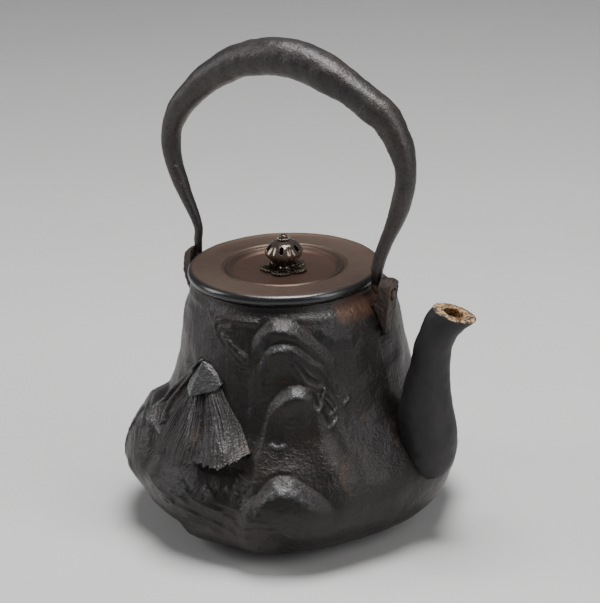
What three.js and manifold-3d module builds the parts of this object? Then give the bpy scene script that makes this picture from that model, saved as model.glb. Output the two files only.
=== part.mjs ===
// Cast-iron kettle with a landscape in relief, a separate spout, a hollow bail handle that
// swings in two ears, and a lifting bronze lid with a pierced flower-bud knob.
// Millimetres, +Z up. The origin is the centre of the flat base, and the spout points to +X.
import * as THREE from 'three';
import { mergeVertices } from 'three/addons/utils/BufferGeometryUtils.js';
import Module from 'manifold-3d';

// ---- driving dimensions ----------------------------------------------------------------
const GAP = 0.3;                    // clearance between pieces that touch
const SHELL = {
  wall: 5.5,                        // iron between the plain outline and the cavity
  floor: 4.5,
  floorRadius: 38,
  rimHeight: 117.2,
  mouthRadius: 37.4,
  mouthDepth: 5,
  mouthUndercut: 1.5,               // step below the mouth where the cavity widens
  leanAngle: 32,
  columns: 80,
  rows: [0, 3, 6, 10, 15, 20, 25, 30, 35, 39, 43, 46.5, 49, 50.5, 52.5, 56, 60, 64, 68.5, 73, 77.5,
    81.5, 85, 88.5, 92, 96, 99.5, 102.5, 106, 109.5, 112.5, 115, 117.2],
};
const PLAIN_OUTLINE = [             // height, radius of the plain kettle under the relief
  [0, 46], [3, 54.6], [8, 63.6], [14, 70.2], [22, 75], [30, 76.6], [38, 75], [46, 70.6], [54, 64.6],
  [62, 59.4], [72, 55.8], [84, 53], [96, 51], [106, 48.6], [112, 45.8], [115.5, 43.6], [117.2, 43.2],
];
const OFF_AXIS = [                  // height, how far the casting leans off the axis there
  [0, 0.5], [10, 2], [20, 2], [32, 1.6], [60, 2.2], [72, 2.6], [85, 3], [110, 2.8],
];
const HILLS = [                     // crest angle and height, reach to each side, relief, lowest height
  { angle: -62, crest: 113, left: 13, right: 17, drop: 7, relief: 2.2, fade: 7, foot: 60 },
  { angle: -62, crest: 102, left: 11, right: 30, drop: 24, relief: 2.8, fade: 9, foot: 40 },
  { angle: -57, crest: 83.5, left: 16, right: 22, drop: 34, relief: 3.4, fade: 26, foot: 20 },
  { angle: -64, crest: 47, left: 30, right: 40, drop: 30, relief: 4.5, fade: 24, foot: -12 },
  { angle: 150, crest: 72, left: 40, right: 32, drop: 30, relief: 3.6, fade: 30, foot: 4 },
  { angle: 95, crest: 88, left: 26, right: 34, drop: 36, relief: 3.2, fade: 30, foot: 4 },
  { angle: 112, crest: 48, left: 44, right: 40, drop: 30, relief: 4, fade: 24, foot: -12 },
  { angle: 48, crest: 60, left: 26, right: 30, drop: 26, relief: 3, fade: 28, foot: 4 },
  { angle: -146, crest: 64, left: 30, right: 24, drop: 14, relief: 5.8, fade: 60, foot: 18 },
  { angle: -75, crest: 22, left: 36, right: 21, drop: 12, relief: 5.8, fade: 40, foot: -12 },
];
const FOOT_WIDTH = 14;              // height over which a hill dies away into the wall at its foot
const CREST_WIDTH = 4.5;            // height over which a hill rises to its full relief
const HILL_SIDES = [0.8, 1.3];      // where a hill fades out sideways, as a share of its reach
const QUIET_NECK = [108, 116];      // heights over which the relief and the lean die away at the neck
const QUIET_FOOT = [0, 4];          // heights over which the relief starts above the base
const EAVE_DEPTH = 2.5;             // height over which the hut's eave turns back into the wall
const HUT = { angle: -98, apex: 88, eave: 51, halfWidth: 18.5, relief: 10.5 };
const SPOUT_HOLE = { height: 46, radius: 8, from: 50, to: 90 };
const SPOUT = [                     // centre x, z, half length in X, half width in Y, tilt in degrees
  [75, 29.8, 3, 3, 0], [75.3, 33, 8, 8, 0], [74.9, 38, 11.4, 11.4, 0], [74.6, 44, 13, 13, 0],
  [74.3, 51, 13.8, 13.8, 0], [74, 58, 13.5, 13.6, 0], [73.8, 66, 12.3, 12.5, 0],
  [74.4, 74, 10.8, 11, -4], [75.5, 82, 9.6, 9.7, -8], [77, 91, 8.7, 8.8, -11],
  [79.3, 99, 8.4, 8.2, -17], [82.9, 106.3, 9, 7.8, -20], [88.9, 113.1, 10.4, 7.6, -15],
];
const CHANNEL = [                   // the same five values for the hollow of the spout
  [75, 34, 5, 5, 0], [74.9, 39, 8.6, 8.6, 0], [74.3, 51, 10.8, 10.8, 0], [73.9, 62, 10, 10.2, 0],
  [74.4, 74, 8, 8.2, -4], [77, 91, 6.1, 6.2, -11], [79.3, 99, 5.9, 5.8, -17],
  [82.9, 106.3, 5.6, 4.8, -20], [88.9, 113.1, 5.4, 3.8, -15], [90.6, 119.5, 5.4, 3.8, -15],
];
const SPOUT_MESH = { steps: 22, sides: 20 };
const CHANNEL_MESH = { steps: 18, sides: 14 };
const PIVOT_HEIGHT = 117;            // of the axis that the handle swings about
const BOW = [                       // centre x, z and half thickness of the forged handle
  [-47.5, 127, 1.9], [-47, 133, 2], [-49.6, 140.4, 2.5], [-52.9, 147.3, 3], [-56, 154.8, 3.6],
  [-58.9, 162.8, 3.9], [-60.1, 171.8, 4.4], [-59, 181.4, 4.8], [-54.4, 190.6, 5.6],
  [-47.1, 198.7, 6.2], [-39.3, 205.9, 6.9], [-30.5, 211.8, 7.3], [-21.4, 216.7, 7.8],
  [-11.8, 219.6, 8.2], [-2.4, 221.3, 8.5], [6.7, 221.5, 8.6], [15.1, 220.1, 8.8], [22.6, 217.6, 8.7],
  [29.5, 214.8, 8.2], [35.9, 211.6, 7.5], [42.3, 208.2, 7.1], [48.5, 204.2, 7.4], [55, 199.9, 6.9],
  [59.5, 193.6, 6.3], [63, 186.5, 5.9], [65, 178.4, 4.9], [64.7, 169.8, 4.6], [62.5, 160.9, 4.4],
  [59.2, 152, 3.8], [55, 142.9, 3.2], [51.7, 135, 2.9], [49.5, 128, 2.7],
];
const BOW_WALL = 1.2;
const BOW_STEPS = 38;
const BOW_SIDES = 12;
const LUG = { top: 7.4, waist: -7, foot: -19, footWidth: 0.6, middle: 53 };
const LUGS = {                      // side view as [x, height above the pivot], from the inner top round
  lug_front: {
    side: 1, width: 8.4, hole: 2.7,
    profile: [[52.5, 8.4], [57.7, 8.4], [58.5, 5.9], [56.7, -7], [54.5, -19], [42, -19], [42, -8.5],
      [50.9, -4.2]],
  },
  lug_rear: {
    side: -1, width: 8.4, hole: 2.1,
    profile: [[49.4, 6.2], [51, 6], [52.6, 4.2], [53.6, 1], [54, -5], [52.8, -12], [50, -19], [42, -19],
      [42, -8.5], [49.4, -4.2]],
  },
};
const HOOKS = {                     // solid tangs in the ends of the bow, bent out through the ears
  handle_hook_front: {
    side: 1, leg: 48.8, root: 49.5, rootHeight: 128, radius: 2.2, tang: 1.1, lean: 16.7, end: 58.2,
  },
  handle_hook_rear: {
    side: -1, leg: 47.4, root: 47.5, rootHeight: 127, radius: 1.6, tang: 0.5, lean: -4.8, end: 54.4,
  },
};
const HOOK_BEND = 3.2;              // radius at which a leg turns into its finger
const TANG_LENGTH = 5;
const TANG_ROOT = 2.5;              // how far the tang starts inside the leg
const SHOULDER_DROP = 1.9;          // from the end of the bow to the shoulder of a hook
const LID = { radius: 45, seat: 117.5, roll: 2.6, skirtOuter: 36.6, skirtInner: 35, skirtDepth: 6.3 };
const LID_UNDERSIDE = 117.6;
const LID_TOP = [                   // radius, height of the top from the roll to the moulding
  [40, 122], [34, 121.8], [29.4, 122], [28.4, 121.4], [27.3, 121.8],
];
const WELL = { radius: 24.8, floor: 119.8, lip: 121.5, slope: 1.4 };
const SEAT = { inner: 3.1, petal: 9.8, wave: 1.9, thickness: 1.3 };
const PETALS = 5;                   // of the flower seat under the knob
const PETAL_HOLE = { reach: 7.6, radius: 1.9 };
const SEAT_SIDES = 50;
const STEM_RADIUS = 2.7;
const BUD_OUTLINE = [               // radius, height of the flower bud
  [2.7, 122.2], [5.2, 123.4], [7.8, 125.9], [8.7, 128.4], [8, 131.2], [5.6, 133.3], [2.9, 134.1],
];
const BUD = {
  middle: 128.4, halfHeight: 5.8, wall: 1.1, stemTop: 122.6, lobes: 6, lobeDepth: 0.07, turn: -7,
};
const ALMOND = { half: [3, 1.1, 2], tilt: -35, reach: 7.2, height: 131 };
const PIN_RADIUS = 1.2;
const PIN_HEAD = 134.5;
const PIN_END = 115.4;
const PEEN = { radius: 2.3, height: 0.9 };
const HEAD_OUTLINE = [              // radius and height of the pin's head above the top of the bud
  [3, 0], [3.1, 0.6], [2.4, 1], [1.5, 1.1], [1.2, 2], [0, 2.4],
];
const WASHER = { radius: 4.6, bottom: 116.5, chamfer: 0.4 };

// ---- helpers ---------------------------------------------------------------------------
const wasm = await Module();
wasm.setup();
const radians = THREE.MathUtils.degToRad;
const smooth = THREE.MathUtils.smoothstep;

/** Value at x of a smooth monotone curve through sorted [x, value] pairs. */
function curveValue(pairs, x) {
  const last = pairs.length - 1;
  const at = Math.min(Math.max(x, pairs[0][0]), pairs[last][0]);
  let i = 0;
  while (i < last - 1 && at > pairs[i + 1][0]) i += 1;
  const slope = (k) => (pairs[k + 1][1] - pairs[k][1]) / (pairs[k + 1][0] - pairs[k][0]);
  const knot = (k) => {
    if (k === 0) return slope(0);
    if (k === last) return slope(last - 1);
    const product = slope(k - 1) * slope(k);
    return product > 0 ? (2 * product) / (slope(k - 1) + slope(k)) : 0;
  };
  const width = pairs[i + 1][0] - pairs[i][0];
  const t = (at - pairs[i][0]) / width;
  const rise = t * t * (3 - 2 * t);
  const bend = knot(i) * t * (1 - t) * (1 - t) - knot(i + 1) * t * t * (1 - t);
  return pairs[i][1] + (pairs[i + 1][1] - pairs[i][1]) * rise + width * bend;
}

/** Closed surface through a stack of rings of equal length, capped by a fan at each end. */
function loft(rings) {
  const count = rings[0].length;
  const points = rings.flat();
  const index = [];
  for (let j = 0; j + 1 < rings.length; j += 1) {
    for (let i = 0; i < count; i += 1) {
      const next = (i + 1) % count;
      const [a, b] = [j * count + i, j * count + next];
      index.push(a, b, b + count, a, b + count, a + count);
    }
  }
  [0, rings.length - 1].forEach((j) => {
    const centre = new THREE.Vector3();
    rings[j].forEach((point) => centre.addScaledVector(point, 1 / count));
    points.push(centre);
    for (let i = 0; i < count; i += 1) {
      const [a, b] = [j * count + i, j * count + ((i + 1) % count)];
      index.push(...(j === 0 ? [points.length - 1, b, a] : [points.length - 1, a, b]));
    }
  });
  const geometry = new THREE.BufferGeometry().setFromPoints(points);
  geometry.setIndex(index);
  return geometry;
}

/** Manifold solid of a closed geometry, turned face-out whichever way it was wound. */
function solid(geometry) {
  const bare = geometry.index ? geometry.toNonIndexed() : geometry.clone();
  bare.deleteAttribute('normal');
  bare.deleteAttribute('uv');
  const merged = mergeVertices(bare, 1e-4);
  const position = merged.getAttribute('position');
  const corner = [0, 1, 2].map(() => new THREE.Vector3());
  const triangles = [];
  let volume = 0;
  for (let i = 0; i < merged.index.count; i += 3) {
    const [a, b, c] = [0, 1, 2].map((k) => merged.index.getX(i + k));
    if (a !== b && b !== c && c !== a) {
      [a, b, c].forEach((v, k) => corner[k].fromBufferAttribute(position, v));
      volume += corner[0].dot(corner[1].cross(corner[2]));
      triangles.push([a, b, c]);
    }
  }
  const faces = triangles.map(([a, b, c]) => (volume > 0 ? [a, b, c] : [a, c, b])).flat();
  return new wasm.Manifold(new wasm.Mesh({
    numProp: 3,
    vertProperties: new Float32Array(position.array),
    triVerts: new Uint32Array(faces),
  }));
}

/** Solid of revolution about the Z axis from a closed outline of [radius, height] points. */
function turned(outline, segments) {
  const closed = [...outline, outline[0]].map(([r, z]) => new THREE.Vector2(r, z));
  return solid(new THREE.LatheGeometry(closed, segments).rotateX(Math.PI / 2));
}

/** Round bar along X between two places. */
function barAlongX(from, to, height, radius, sides) {
  const bar = new THREE.CylinderGeometry(radius, radius, to - from, sides).rotateZ(Math.PI / 2);
  return solid(bar.translate((from + to) / 2, 0, height));
}

/** Points of a smooth open curve through knots of any number of values. */
function throughKnots(knots, steps) {
  const curves = knots[0].map((_, k) => new THREE.CatmullRomCurve3(
    knots.map((knot, i) => new THREE.Vector3(i, knot[k], 0)), false, 'catmullrom', 0.5));
  return Array.from({ length: steps + 1 }, (_, i) => curves.map((c) => c.getPoint(i / steps).y));
}

/** Named mesh of a manifold solid in its own material. */
function piece(name, manifold, finish) {
  const { vertProperties, triVerts } = manifold.getMesh();
  const geometry = new THREE.BufferGeometry();
  geometry.setAttribute('position', new THREE.BufferAttribute(new Float32Array(vertProperties), 3));
  geometry.setIndex(new THREE.BufferAttribute(new Uint32Array(triVerts), 1));
  geometry.computeVertexNormals();
  const mesh = new THREE.Mesh(geometry, new THREE.MeshStandardMaterial(finish));
  mesh.name = name;
  return mesh;
}

// ---- kettle shell ----------------------------------------------------------------------
/** Arc length in mm from the middle of a hill or hut, negative to its left. */
function arcFrom(angle, centre, radius) {
  const turn = ((angle - centre + 540) % 360) - 180;
  return radians(turn) * radius;
}

/** A hill has a sharp crest line and dies away below it. */
function hillRelief(hill, arc, z) {
  const side = Math.abs(arc) / (arc < 0 ? hill.left : hill.right);
  const below = hill.crest - hill.drop * side * side - z;
  const fall = Math.exp(-Math.max(0, below - CREST_WIDTH) / hill.fade);
  const rise = smooth(below, 0, CREST_WIDTH) * smooth(z, hill.foot, hill.foot + FOOT_WIDTH);
  return hill.relief * rise * fall * (1 - smooth(side, ...HILL_SIDES));
}

/** The thatched hut's roof is half a cone that stands out of the wall and ends in an eave. */
function hutRelief(arc, z) {
  const down = (HUT.apex - z) / (HUT.apex - HUT.eave);
  if (down < 0) return 0;
  const halfWidth = 1 + HUT.halfWidth * Math.min(down, 1.1);
  const across = Math.max(0, 1 - (arc / halfWidth) ** 2);
  const eave = 1 - smooth(HUT.eave - z, 0, EAVE_DEPTH);
  return HUT.relief * Math.sqrt(across) * (0.25 + 0.75 * down) * eave;
}

/** Outer radius of the shell at an angle in degrees and a height. */
function shellRadius(angle, z) {
  const plain = curveValue(PLAIN_OUTLINE, z);
  const lean = curveValue(OFF_AXIS, z) * Math.cos(radians(angle - SHELL.leanAngle));
  const quiet = 1 - smooth(z, ...QUIET_NECK);
  const foot = smooth(z, ...QUIET_FOOT);
  const hills = HILLS.reduce((sum, h) => sum + hillRelief(h, arcFrom(angle, h.angle, plain), z), 0);
  const hut = hutRelief(arcFrom(angle, HUT.angle, plain), z);
  return plain + lean * quiet + foot * quiet * Math.max(hills, hut);
}

/** The shell's outside as one closed body, swollen by an offset. */
function shellOutside(offset) {
  const rings = SHELL.rows.map((z) => Array.from({ length: SHELL.columns }, (_, i) => {
    const angle = (360 * i) / SHELL.columns;
    const radius = shellRadius(angle, z) + offset;
    return new THREE.Vector3(radius * Math.cos(radians(angle)), radius * Math.sin(radians(angle)), z);
  }));
  return solid(loft(rings));
}

function shellCavity() {
  const seat = SHELL.rimHeight - SHELL.mouthDepth;
  const outline = [[0, SHELL.floor], [SHELL.floorRadius, SHELL.floor]];
  [8, 14, 22, 30, 38, 46, 54, 62, 72, 84, 96, 106].forEach((z) => {
    outline.push([curveValue(PLAIN_OUTLINE, z) - SHELL.wall, z]);
  });
  outline.push([SHELL.mouthRadius + SHELL.mouthUndercut, seat - SHELL.mouthUndercut]);
  outline.push([SHELL.mouthRadius, seat]);
  outline.push([SHELL.mouthRadius, SHELL.rimHeight + 2], [0, SHELL.rimHeight + 2]);
  return turned(outline, 44);
}

function kettleBody() {
  const hole = barAlongX(SPOUT_HOLE.from, SPOUT_HOLE.to, SPOUT_HOLE.height, SPOUT_HOLE.radius, 20);
  return shellOutside(0).subtract(shellCavity()).subtract(hole);
}

// ---- spout -----------------------------------------------------------------------------
/** Tube in the XZ plane through oval sections given as x, z, half length, half width, tilt. */
function ovalTube(sections, steps, sides) {
  const rings = throughKnots(sections, steps).map(([x, z, long, wide, tilt]) => (
    Array.from({ length: sides }, (_, i) => {
      const turn = (2 * Math.PI * i) / sides;
      const reach = long * Math.cos(turn);
      const [run, rise] = [reach * Math.cos(radians(tilt)), reach * Math.sin(radians(tilt))];
      return new THREE.Vector3(x + run, wide * Math.sin(turn), z + rise);
    })
  ));
  return solid(loft(rings));
}

function spout(swollenShell) {
  const outside = ovalTube(SPOUT, SPOUT_MESH.steps, SPOUT_MESH.sides);
  const channel = ovalTube(CHANNEL, CHANNEL_MESH.steps, CHANNEL_MESH.sides);
  return outside.subtract(channel).subtract(swollenShell);
}

// ---- handle ----------------------------------------------------------------------------
/** Tube in the XZ plane that follows knots of x, z and radius, thinned by a wall. */
function bowTube(thinner, extend) {
  const path = throughKnots(BOW, BOW_STEPS);
  const rings = path.map(([x, z, radius], i) => {
    const [before, after] = [path[Math.max(0, i - 1)], path[Math.min(path.length - 1, i + 1)]];
    const along = new THREE.Vector2(after[0] - before[0], after[1] - before[1]).normalize();
    const end = i === 0 ? -extend : (i === path.length - 1 ? extend : 0);
    return Array.from({ length: BOW_SIDES }, (_, k) => {
      const turn = (2 * Math.PI * k) / BOW_SIDES;
      const out = (radius - thinner) * Math.cos(turn);
      const px = x + along.x * end - along.y * out;
      return new THREE.Vector3(px, (radius - thinner) * Math.sin(turn), z + along.y * end + along.x * out);
    });
  });
  return solid(loft(rings));
}

function handleBow() {
  return bowTube(0, 0).subtract(bowTube(BOW_WALL, 1));
}

/** Solid hook: a tang up inside the bow, a leg, and a finger that turns out through the ear. */
function handleHook({ side, leg, root, rootHeight, radius, tang, lean, end }) {
  const bendStart = PIVOT_HEIGHT + HOOK_BEND;
  const path = new THREE.CurvePath();
  const top = new THREE.Vector3(side * root, 0, rootHeight - SHOULDER_DROP);
  const bottom = new THREE.Vector3(side * leg, 0, bendStart);
  const turnEnd = new THREE.Vector3(side * (leg + HOOK_BEND), 0, PIVOT_HEIGHT);
  path.add(new THREE.LineCurve3(top, bottom));
  path.add(new THREE.QuadraticBezierCurve3(bottom, new THREE.Vector3(side * leg, 0, PIVOT_HEIGHT), turnEnd));
  path.add(new THREE.LineCurve3(turnEnd, new THREE.Vector3(side * end, 0, PIVOT_HEIGHT)));
  const section = new THREE.Shape().absarc(0, 0, radius, 0, 2 * Math.PI);
  const rod = new THREE.ExtrudeGeometry(section, { extrudePath: path, steps: 16, curveSegments: 6 });
  const tangRod = new THREE.CylinderGeometry(tang, tang, TANG_LENGTH + TANG_ROOT, 10).rotateX(Math.PI / 2);
  tangRod.translate(0, 0, (TANG_LENGTH - TANG_ROOT) / 2).rotateY(radians(side * lean));
  return solid(rod).add(solid(tangRod.translate(side * root, 0, rootHeight)));
}

/** Ear: a leaning block with a round top, pierced along X, with a tongue down the shoulder. */
function lug({ side, width, hole, profile }, swollenShell) {
  const half = width / 2;
  const arch = new THREE.Shape();
  arch.moveTo(-half * LUG.footWidth, LUG.foot);
  arch.lineTo(half * LUG.footWidth, LUG.foot);
  arch.lineTo(half, LUG.waist);
  arch.lineTo(half, LUG.top - half);
  arch.absarc(0, LUG.top - half, half, 0, Math.PI, false);
  arch.lineTo(-half, LUG.waist);
  const reach = 30;
  const front = new THREE.ExtrudeGeometry(arch, { depth: reach, bevelEnabled: false, curveSegments: 10 });
  front.rotateY(Math.PI / 2).rotateX(Math.PI / 2).translate(-reach / 2 + side * LUG.middle, 0, PIVOT_HEIGHT);
  const outline = new THREE.Shape(profile.map(([x, z]) => new THREE.Vector2(side * x, z)));
  const block = new THREE.ExtrudeGeometry(outline, { depth: 2 * width, bevelEnabled: false });
  block.rotateX(Math.PI / 2).translate(0, width, PIVOT_HEIGHT);
  const bore = barAlongX(side * LUG.middle - width, side * LUG.middle + width, PIVOT_HEIGHT, hole, 16);
  return solid(front).intersect(solid(block)).subtract(bore).subtract(swollenShell);
}

// ---- lid -------------------------------------------------------------------------------
function lidPlate() {
  const { radius, seat, roll } = LID;
  const arc = Array.from({ length: 8 }, (_, i) => {
    const turn = radians(-62 + 24 * i);
    return [radius - roll + roll * Math.cos(turn), seat + roll - 0.1 + roll * Math.sin(turn)];
  });
  const outline = [
    [PIN_RADIUS + GAP, LID_UNDERSIDE], [LID.skirtInner, LID_UNDERSIDE],
    [LID.skirtInner, seat - LID.skirtDepth], [LID.skirtOuter - 0.5, seat - LID.skirtDepth],
    [LID.skirtOuter, seat - 1], [LID.skirtOuter, seat], [radius - 2.4, seat], ...arc, ...LID_TOP,
    [WELL.radius + 1, WELL.lip], [WELL.radius, WELL.lip - 1],
    [WELL.radius - WELL.slope, WELL.floor], [PIN_RADIUS + GAP, WELL.floor],
  ];
  return turned(outline, 48);
}

/** Openwork flower under the knob: five petals, each with a round piercing. */
function flowerSeat() {
  const bottom = WELL.floor + GAP;
  const outline = new THREE.Shape(Array.from({ length: SEAT_SIDES }, (_, i) => {
    const turn = (2 * Math.PI * i) / SEAT_SIDES;
    const reach = SEAT.petal + SEAT.wave * Math.abs(Math.cos((PETALS * turn) / 2));
    return new THREE.Vector2(reach * Math.cos(turn), reach * Math.sin(turn));
  }));
  outline.holes.push(new THREE.Path().absarc(0, 0, SEAT.inner, 0, 2 * Math.PI, true));
  for (let i = 0; i < PETALS; i += 1) {
    const turn = (2 * Math.PI * i) / PETALS;
    const [x, y] = [PETAL_HOLE.reach * Math.cos(turn), PETAL_HOLE.reach * Math.sin(turn)];
    outline.holes.push(new THREE.Path().absarc(x, y, PETAL_HOLE.radius, 0, 2 * Math.PI, true));
  }
  const options = { depth: SEAT.thickness, bevelEnabled: false, curveSegments: 5 };
  const plate = new THREE.ExtrudeGeometry(outline, options);
  return solid(plate.translate(0, 0, bottom));
}

/** Lobed surface of the bud, shrunk by a wall. */
function budSurface(wall, sides) {
  const rings = throughKnots(BUD_OUTLINE, 8).map(([r, z]) => Array.from({ length: sides }, (_, i) => {
    const turn = (2 * Math.PI * i) / sides;
    const lobe = Math.cos(BUD.lobes * (turn - radians(BUD.turn)));
    const radius = Math.max(0.5, r - wall) * (1 + BUD.lobeDepth * lobe);
    const height = BUD.middle + (z - BUD.middle) * (1 - wall / BUD.halfHeight);
    return new THREE.Vector3(radius * Math.cos(turn), radius * Math.sin(turn), height);
  }));
  return solid(loft(rings));
}

/** Hollow flower bud on a stem, pierced by one almond in each lobe. */
function knobBud() {
  const base = WELL.floor + GAP;
  const stem = turned([[0, base], [STEM_RADIUS, base], [STEM_RADIUS, BUD.stemTop], [0, BUD.stemTop]], 20);
  const clearance = PIN_RADIUS + GAP;
  const bore = turned([[0, base - 1], [clearance, base - 1], [clearance, PIN_HEAD], [0, PIN_HEAD]], 12);
  let bud = budSurface(0, 30).add(stem).subtract(budSurface(BUD.wall, 12));
  for (let i = 0; i < BUD.lobes; i += 1) {
    const almond = new THREE.SphereGeometry(1, 8, 6).scale(...ALMOND.half).rotateY(radians(ALMOND.tilt));
    almond.translate(ALMOND.reach, 0, ALMOND.height);
    almond.rotateZ(radians(BUD.turn) + (2 * Math.PI * i) / BUD.lobes);
    bud = bud.subtract(solid(almond));
  }
  return bud.subtract(bore);
}

/** Long rivet: beaded flower head, shank through bud and lid, and a peened end below. */
function knobPin() {
  const peen = [[0, PIN_END], [PEEN.radius - GAP, PIN_END], [PEEN.radius, PIN_END + PEEN.height - 0.2]];
  const shank = [[PIN_RADIUS, PIN_END + PEEN.height], [PIN_RADIUS, PIN_HEAD]];
  const head = HEAD_OUTLINE.map(([r, z]) => [r, PIN_HEAD + z]);
  return turned([...peen, ...shank, ...head], 16);
}

function pinWasher() {
  const top = LID_UNDERSIDE - GAP;
  const bore = PIN_RADIUS + GAP;
  const { radius, bottom, chamfer } = WASHER;
  const edge = [[radius, bottom], [radius, top - chamfer], [radius - chamfer, top]];
  return turned([[bore, bottom], ...edge, [bore, top]], 24);
}

// ---- assembly --------------------------------------------------------------------------
const IRON = { color: 0x2b2826, roughness: 0.55, metalness: 0.85 };
const SPOUT_IRON = { color: 0x2c2f31, roughness: 0.62, metalness: 0.8 };
const FORGED_IRON = { color: 0x373230, roughness: 0.6, metalness: 0.8 };
const RUSTY_IRON = { color: 0x4a3a30, roughness: 0.75, metalness: 0.6 };
const BRONZE = { color: 0x574439, roughness: 0.38, metalness: 0.9 };
const DARK_BRONZE = { color: 0x3d2f27, roughness: 0.25, metalness: 0.95 };

const swollenShell = shellOutside(GAP);
const kettle = new THREE.Group();
kettle.name = 'kettle';
kettle.add(piece('kettle_body', kettleBody(), IRON));
kettle.add(piece('spout', spout(swollenShell), SPOUT_IRON));
Object.entries(LUGS).forEach(([name, shape]) => {
  kettle.add(piece(name, lug(shape, swollenShell), RUSTY_IRON));
});
kettle.add(piece('handle_bow', handleBow(), FORGED_IRON));
Object.entries(HOOKS).forEach(([name, shape]) => {
  kettle.add(piece(name, handleHook(shape), FORGED_IRON));
});
kettle.add(piece('lid_plate', lidPlate(), BRONZE));
kettle.add(piece('flower_seat', flowerSeat(), DARK_BRONZE));
kettle.add(piece('knob_bud', knobBud(), DARK_BRONZE));
kettle.add(piece('knob_pin', knobPin(), DARK_BRONZE));
kettle.add(piece('pin_washer', pinWasher(), BRONZE));

export default kettle;
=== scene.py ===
"""Looks of the cast-iron kettle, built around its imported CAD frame. Metres, +Z up, spout to +X.

The shell, spout, handle, lid and knob are fine meshes that stand for the plain CAD nodes.
Shape functions below work in millimetres and degrees, and mesh_piece turns them to metres.
"""
import math

import bmesh
import bpy
import numpy as np
from mathutils import Matrix, Vector


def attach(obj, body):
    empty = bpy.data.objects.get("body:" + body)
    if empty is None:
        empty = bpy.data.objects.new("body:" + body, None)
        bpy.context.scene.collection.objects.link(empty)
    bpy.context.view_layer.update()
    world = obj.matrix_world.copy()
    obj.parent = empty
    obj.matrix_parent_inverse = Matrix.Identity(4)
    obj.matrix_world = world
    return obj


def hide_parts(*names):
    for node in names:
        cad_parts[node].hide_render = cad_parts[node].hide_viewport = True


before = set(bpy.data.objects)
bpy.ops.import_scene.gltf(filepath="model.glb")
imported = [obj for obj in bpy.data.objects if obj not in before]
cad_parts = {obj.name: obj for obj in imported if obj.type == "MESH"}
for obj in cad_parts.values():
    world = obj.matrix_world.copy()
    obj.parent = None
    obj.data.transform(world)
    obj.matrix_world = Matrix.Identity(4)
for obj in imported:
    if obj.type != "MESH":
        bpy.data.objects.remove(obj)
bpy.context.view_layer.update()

MM = 0.001

# ---- curves and noise -------------------------------------------------------------------


def smooth(x, low, high):
    """Smooth step from 0 at low to 1 at high."""
    t = np.clip((x - low) / (high - low), 0, 1)
    return t * t * (3 - 2 * t)


def curve(pairs, x):
    """Monotone smooth curve through sorted (x, value) pairs, held flat past its ends."""
    px, py = np.array(pairs, float).T
    slope = np.diff(py) / np.diff(px)
    product = slope[:-1] * slope[1:]
    total = slope[:-1] + slope[1:]
    safe = np.where(np.abs(total) > 1e-9, total, 1)
    inner = np.where(product > 0, 2 * product / safe, 0)
    knots = np.concatenate([[slope[0]], inner, [slope[-1]]])
    at = np.clip(x, px[0], px[-1])
    i = np.clip(np.searchsorted(px, at, side="right") - 1, 0, len(px) - 2)
    width = px[i + 1] - px[i]
    t = (at - px[i]) / width
    bend = knots[i] * t * (1 - t) ** 2 - knots[i + 1] * t * t * (1 - t)
    return py[i] + (py[i + 1] - py[i]) * t * t * (3 - 2 * t) + width * bend


def through(knots, steps):
    """Rows of a Catmull-Rom curve through knots of any number of values."""
    knots = np.array(knots, float)
    padded = np.vstack([2 * knots[0] - knots[1], knots, 2 * knots[-1] - knots[-2]])
    place = np.linspace(0, len(knots) - 1, steps)
    i = np.minimum(place.astype(int), len(knots) - 2)
    t = (place - i)[:, None]
    a, b, c, d = padded[i], padded[i + 1], padded[i + 2], padded[i + 3]
    return 0.5 * (2 * b + (c - a) * t + (2 * a - 5 * b + 4 * c - d) * t**2 + (3 * b - a - 3 * c + d) * t**3)


def waves(points, length, seed, count=14):
    """Smooth seeded noise from -1 to 1 or so, made of plane waves of about one length."""
    rng = np.random.default_rng(seed)
    total = np.zeros(points.shape[:-1])
    for _ in range(count):
        direction = rng.normal(size=points.shape[-1])
        direction *= 2 * math.pi / (length * rng.uniform(0.7, 1.5) * np.linalg.norm(direction))
        total += np.sin(points @ direction + rng.uniform(0, 2 * math.pi))
    return total / math.sqrt(count)


def full_turn(count):
    """Even steps round a full turn, in radians."""
    return np.linspace(0, 2 * math.pi, count, endpoint=False)


def around(radius, turn, height):
    """Points at a radius, a turn in radians and a height."""
    x = radius * np.cos(turn)
    return np.stack([x, radius * np.sin(turn), height + 0 * x], -1)


# ---- meshes -----------------------------------------------------------------------------


def linked(name, data):
    """New object, linked to the scene."""
    thing = bpy.data.objects.new(name, data)
    bpy.context.scene.collection.objects.link(thing)
    return thing


def grid_faces(rows, columns, wrap):
    """Quads of a grid of points; wrap joins the last column to the first."""
    i = np.arange(columns if wrap else columns - 1)
    j = np.arange(rows - 1)[:, None]
    a = j * columns + i
    b = j * columns + (i + 1) % columns
    return np.stack([a, b, b + columns, a + columns], axis=-1).reshape(-1, 4)


def mesh_piece(name, points, faces, material, body, nodes=()):
    """Smooth-shaded piece from points in millimetres, riding on a body."""
    mesh = bpy.data.meshes.new(name)
    mesh.from_pydata((np.asarray(points).reshape(-1, 3) * MM).tolist(), [], [list(f) for f in faces])
    return finish_piece(name, mesh, material, body, nodes)


def finish_piece(name, mesh, material, body, nodes):
    """Turns a mesh face-out, links it, rides it on its body and hides the CAD nodes it stands for."""
    work = bmesh.new()
    work.from_mesh(mesh)
    bmesh.ops.recalc_face_normals(work, faces=work.faces)
    work.to_mesh(mesh)
    work.free()
    mesh.shade_smooth()
    mesh.materials.clear()
    mesh.materials.append(material)
    piece = linked(name, mesh)
    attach(piece, body)
    if nodes:
        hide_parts(*nodes)
    return piece


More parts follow.
